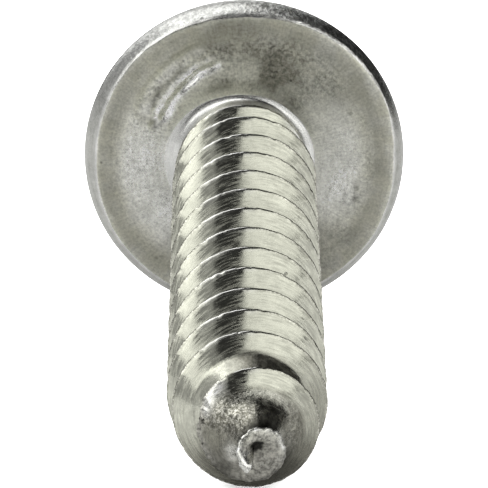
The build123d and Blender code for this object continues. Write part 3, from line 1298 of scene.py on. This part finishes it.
    def relief(self, sheet: NodeSheet, patterns: Patterns) -> bpy.types.NodeSocket:
        """Fine relief of the steel.

        Args:
            sheet: The material's sheet.
            patterns: Results of the shared groups by use.

        Returns:
            The height in metres.
        """
        depths = {"lines": self.line_depth, "grain": self.grain_depth, "streaks": self.streak_depth}
        depths["pits"] = -self.pit_depth
        lumps = sheet.plus(patterns["lumps"], sheet.times(patterns["burrs"], 0.35))
        return sheet.plus(
            *(sheet.times(patterns[use], depth * MILLIMETRE) for use, depth in depths.items()),
            sheet.times(lumps, sheet.times(sheet.mask("beaten"), self.beaten_depth * MILLIMETRE)),
        )


STEELS = {
    Finish.THREAD: SteelFinish(
        "rolled_thread_steel", (0.64, 0.645, 0.55), 0.12, line_spacing=0.035, line_tone=0.22, line_rough=0.12,
        grain_size=0.06, grain_tone=0.06, grain_depth=0.0006, streak_tone=0.0, streak_depth=0.0,
        pit_share=0.01, cloud_size=0.55, cloud_tone=0.10,
    ),
    Finish.BEARING_FACE: SteelFinish(
        "bearing_face_steel", (0.775, 0.775, 0.70), 0.34, line_spacing=0.12, line_tone=0.06,
        grain_size=0.09, grain_tone=0.17, streak_tone=0.07, stain_amount=0.6, cloud_tone=0.14,
        beaten_depth=0.04, bare_smooth=0.08,
    ),
    Finish.RIM: SteelFinish(
        "rim_steel", (0.61, 0.615, 0.59), 0.16, grain_size=0.04, grain_depth=0.006,
        streak_tone=0.03, pit_share=0.04, cloud_tone=0.10, beaten_depth=0.035,
    ),
    Finish.CROWN: SteelFinish("crown_steel", (0.60, 0.60, 0.55), 0.27, line_spacing=0.08, streak_tone=0.02),
}


@dataclass(frozen=True)
class Resting:
    """How the screw lies: on the rim of its head and on its lowest crest near the point."""

    tip_over: float = 96.468094
    bearing_centre: tuple[float, float, float] = (0.0, 14.2814, 5.27768)

    def matrix(self) -> Matrix:
        """From the screw's own frame to the floor's, in metres."""
        shift = Matrix.Translation(Vector(self.bearing_centre) * MILLIMETRE)
        return shift @ Matrix.Rotation(math.radians(self.tip_over), 4, "X")


@dataclass(frozen=True)
class Screw:
    """The whole screw as one piece."""

    thread: Thread
    head: TrussHead
    resting: Resting

    def mesh(self) -> bpy.types.Mesh:
        """Build the skin and make it a mesh in metres, with its masks and smooth shading."""
        skin = Skin()
        ring = self.head.build(skin, self.thread.ring_angles())
        self.thread.build(skin, ring)
        points = np.concatenate(skin.points)
        masks = np.concatenate(skin.masks)
        used = np.zeros(len(points), bool)
        used[np.concatenate([np.array(face) for face in skin.faces])] = True
        renumbered = np.cumsum(used) - 1
        faces = [tuple(int(renumbered[corner]) for corner in face) for face in skin.faces]
        mesh = bpy.data.meshes.new("truss_head_screw_skin")
        mesh.from_pydata((points[used] * MILLIMETRE).tolist(), [], faces)
        mesh.transform(self.resting.matrix())
        layer = mesh.attributes.new(OWN_PLACE, "FLOAT_VECTOR", "POINT")
        layer.data.foreach_set("vector", points[used].astype(np.float32).ravel())
        mesh.polygons.foreach_set("material_index", skin.finishes)
        mesh.polygons.foreach_set("use_smooth", [True] * len(faces))
        for number, name in enumerate(MASKS):
            layer = mesh.attributes.new(name, "FLOAT", "POINT")
            layer.data.foreach_set("value", masks[used][:, number].astype(np.float32))
        mesh.update()
        mesh.validate()
        return mesh

    def build(self, groups: dict[str, bpy.types.NodeTree]) -> bpy.types.Object:
        """Make the piece, dress it, and let it stand for the CAD node.

        Args:
            groups: The shared node groups by name.

        Returns:
            The piece.
        """
        mesh = self.mesh()
        for finish in Finish:
            mesh.materials.append(STEELS[finish].material(groups))
        piece = bpy.data.objects.new("dressed_truss_head_screw", mesh)
        bpy.context.scene.collection.objects.link(piece)
        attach(piece, BODY)
        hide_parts(CAD_NODE)
        return piece


@dataclass(frozen=True)
class Panel:
    """A soft light panel that faces the screw."""

    name: str
    azimuth: float
    elevation: float
    width: float
    height: float
    brightness: float
    colour: tuple[float, float, float] = (1.0, 1.0, 1.0)
    distance: float = 350.0
    roll: float = 0.0

    def build(self, middle: Vector) -> None:
        """Hang the panel.

        Args:
            middle: What it faces, in metres.
        """
        lamp = bpy.data.lights.new(self.name, "AREA")
        lamp.shape = "RECTANGLE"
        lamp.size = self.width * MILLIMETRE
        lamp.size_y = self.height * MILLIMETRE
        lamp.energy = self.brightness * math.pi * lamp.size * lamp.size_y
        lamp.color = self.colour
        holder = bpy.data.objects.new(self.name, lamp)
        holder.visible_camera = False
        turn, rise = math.radians(self.azimuth), math.radians(self.elevation)
        away = Vector((math.sin(turn) * math.cos(rise), -math.cos(turn) * math.cos(rise), math.sin(rise)))
        facing = away.to_track_quat("Z", "Y").to_matrix().to_4x4()
        spin = Matrix.Rotation(math.radians(self.roll), 4, "Z")
        holder.matrix_world = Matrix.Translation(middle + away * self.distance * MILLIMETRE) @ facing @ spin
        bpy.context.scene.collection.objects.link(holder)


@dataclass(frozen=True)
class Studio:
    """Pale floor, soft panels and a plain surround."""

    panels: tuple[Panel, ...] = (
        Panel("right_panel", 37.5, 21, 237, 297, 1.03, (1.0, 1.0, 0.98)),
        Panel("far_right_panel", 67, 21, 135, 297, 0.66, (1.0, 1.0, 0.98)),
        Panel("left_panel", -50, 37, 188, 290, 1.05, (1.0, 1.0, 0.98)),
        Panel("left_edge_panel", -24, 38, 75, 290, 0.32),
        Panel("left_side_panel", -95, 24, 1000, 500, 0.42, distance=400),
        Panel("back_panel", -166, 28, 330, 260, 0.75),
        Panel("overhead_panel", -110, 70.4, 400, 300, 1.5, roll=20, distance=364),
    )
    floor_colour: Colour = (0.93, 0.93, 0.93)
    floor_roughness: float = 0.8
    floor_gloss: float = 0.1
    mirrored_floor: Colour = (0.2, 0.2, 0.2)
    surround: float = 0.04
    daylight: float = 3.6
    floor_half: float = 3.0
    middle: tuple[float, float, float] = (0.0, 0.0, 0.004)

    def build_floor(self) -> bpy.types.Object:
        """Lay the floor, a plain sheet with a faint unevenness in its tone."""
        mesh = bpy.data.meshes.new("pale_floor")
        half = self.floor_half
        corners = [(-half, -half, 0), (half, -half, 0), (half, half, 0), (-half, half, 0)]
        mesh.from_pydata(corners, [], [(0, 1, 2, 3)])
        material = bpy.data.materials.new("pale_floor")
        material.use_nodes = True
        sheet = NodeSheet(material.node_tree)
        shader = material.node_tree.nodes["Principled BSDF"]
        here = sheet.add("ShaderNodeTexCoord").outputs["Object"]
        darker = tuple(0.985 * part for part in self.floor_colour)
        tone = sheet.mix(sheet.noise(here, scale=10.0, detail=2.0), darker, self.floor_colour)
        mirrored = sheet.add("ShaderNodeLightPath").outputs["Is Glossy Ray"]
        tone = sheet.mix(mirrored, tone, self.mirrored_floor)
        material.node_tree.links.new(tone, shader.inputs["Base Color"])
        shader.inputs["Roughness"].default_value = self.floor_roughness
        shader.inputs["Specular IOR Level"].default_value = self.floor_gloss
        mesh.materials.append(material)
        floor = bpy.data.objects.new("pale_floor", mesh)
        bpy.context.scene.collection.objects.link(floor)
        return floor

    def build_surround(self) -> None:
        """Pale even surround that lights the floor, and is dim where the metal mirrors it."""
        world = bpy.data.worlds.new("plain_surround")
        bpy.context.scene.world = world
        world.use_nodes = True
        sheet = NodeSheet(world.node_tree)
        dim = world.node_tree.nodes["Background"]
        dim.inputs["Strength"].default_value = self.surround
        pale = sheet.add("ShaderNodeBackground", {"Color": (1, 1, 1, 1), "Strength": self.daylight})
        mirrored = sheet.add("ShaderNodeLightPath").outputs["Is Glossy Ray"]
        dim.inputs["Color"].default_value = (1, 1, 1, 1)
        both = sheet.add("ShaderNodeMixShader", {0: mirrored, 1: pale.outputs[0], 2: dim.outputs[0]})
        world.node_tree.links.new(both.outputs[0], world.node_tree.nodes["World Output"].inputs["Surface"])

    def build(self) -> bpy.types.Object:
        """Build the floor, the surround and the panels, and give the floor."""
        floor = self.build_floor()
        self.build_surround()
        for panel in self.panels:
            panel.build(Vector(self.middle))
        bpy.context.scene.view_settings.view_transform = "Standard"
        return floor


@dataclass(frozen=True)
class LongLens:
    """Camera with a long lens that looks along the screw from in front of its point."""

    above_axis: float = 16.8871
    to_the_side: float = -0.4995
    roll: float = -0.6383
    distance: float = 191.23
    aim: tuple[float, float, float] = (-0.0456, 0.3538, 10.8)
    focal_length: float = 442.19
    sensor_width: float = 36.0
    nearest: float = 10.0

    def build(self, resting: Resting) -> bpy.types.Object:
        """Place the camera and make it the scene's.

        Args:
            resting: How the screw lies, because the camera is set by the screw's own axis.

        Returns:
            The camera.
        """
        rise, side = math.radians(self.above_axis), math.radians(self.to_the_side)
        back = Vector((math.sin(side), math.sin(rise) * math.cos(side), math.cos(rise) * math.cos(side)))
        right = (-back).cross(Vector((0, 0, -1))).normalized()
        up = right.cross(-back)
        tilt = math.radians(self.roll)
        across = right * math.cos(tilt) + up * math.sin(tilt)
        upright = up * math.cos(tilt) - right * math.sin(tilt)
        place = (Vector(self.aim) + back * self.distance) * MILLIMETRE
        own = Matrix((across, upright, back)).transposed().to_4x4()
        own.translation = place
        data = bpy.data.cameras.new("long_lens")
        data.lens = self.focal_length
        data.sensor_width = self.sensor_width
        data.clip_start = self.nearest * MILLIMETRE
        camera = bpy.data.objects.new("long_lens", data)
        camera.matrix_world = resting.matrix() @ own
        bpy.context.scene.collection.objects.link(camera)
        bpy.context.scene.camera = camera
        return camera


def main() -> None:
    """Build the screw, the studio and the camera, in that order."""
    logging.basicConfig(level=logging.INFO, format="%(name)s: %(message)s")
    groups = SharedEffects().build()
    resting = Resting()
    screw = Screw(Thread(), TrussHead(), resting).build(groups)
    LOG.info("%s: %d faces", screw.name, len(screw.data.polygons))
    floor = Studio().build()
    LOG.info("%s: %.1f m wide", floor.name, floor.dimensions.x)
    camera = LongLens().build(resting)
    LOG.info("%s: %.0f mm lens", camera.name, camera.data.lens)


if __name__ == "__main__":
    main()
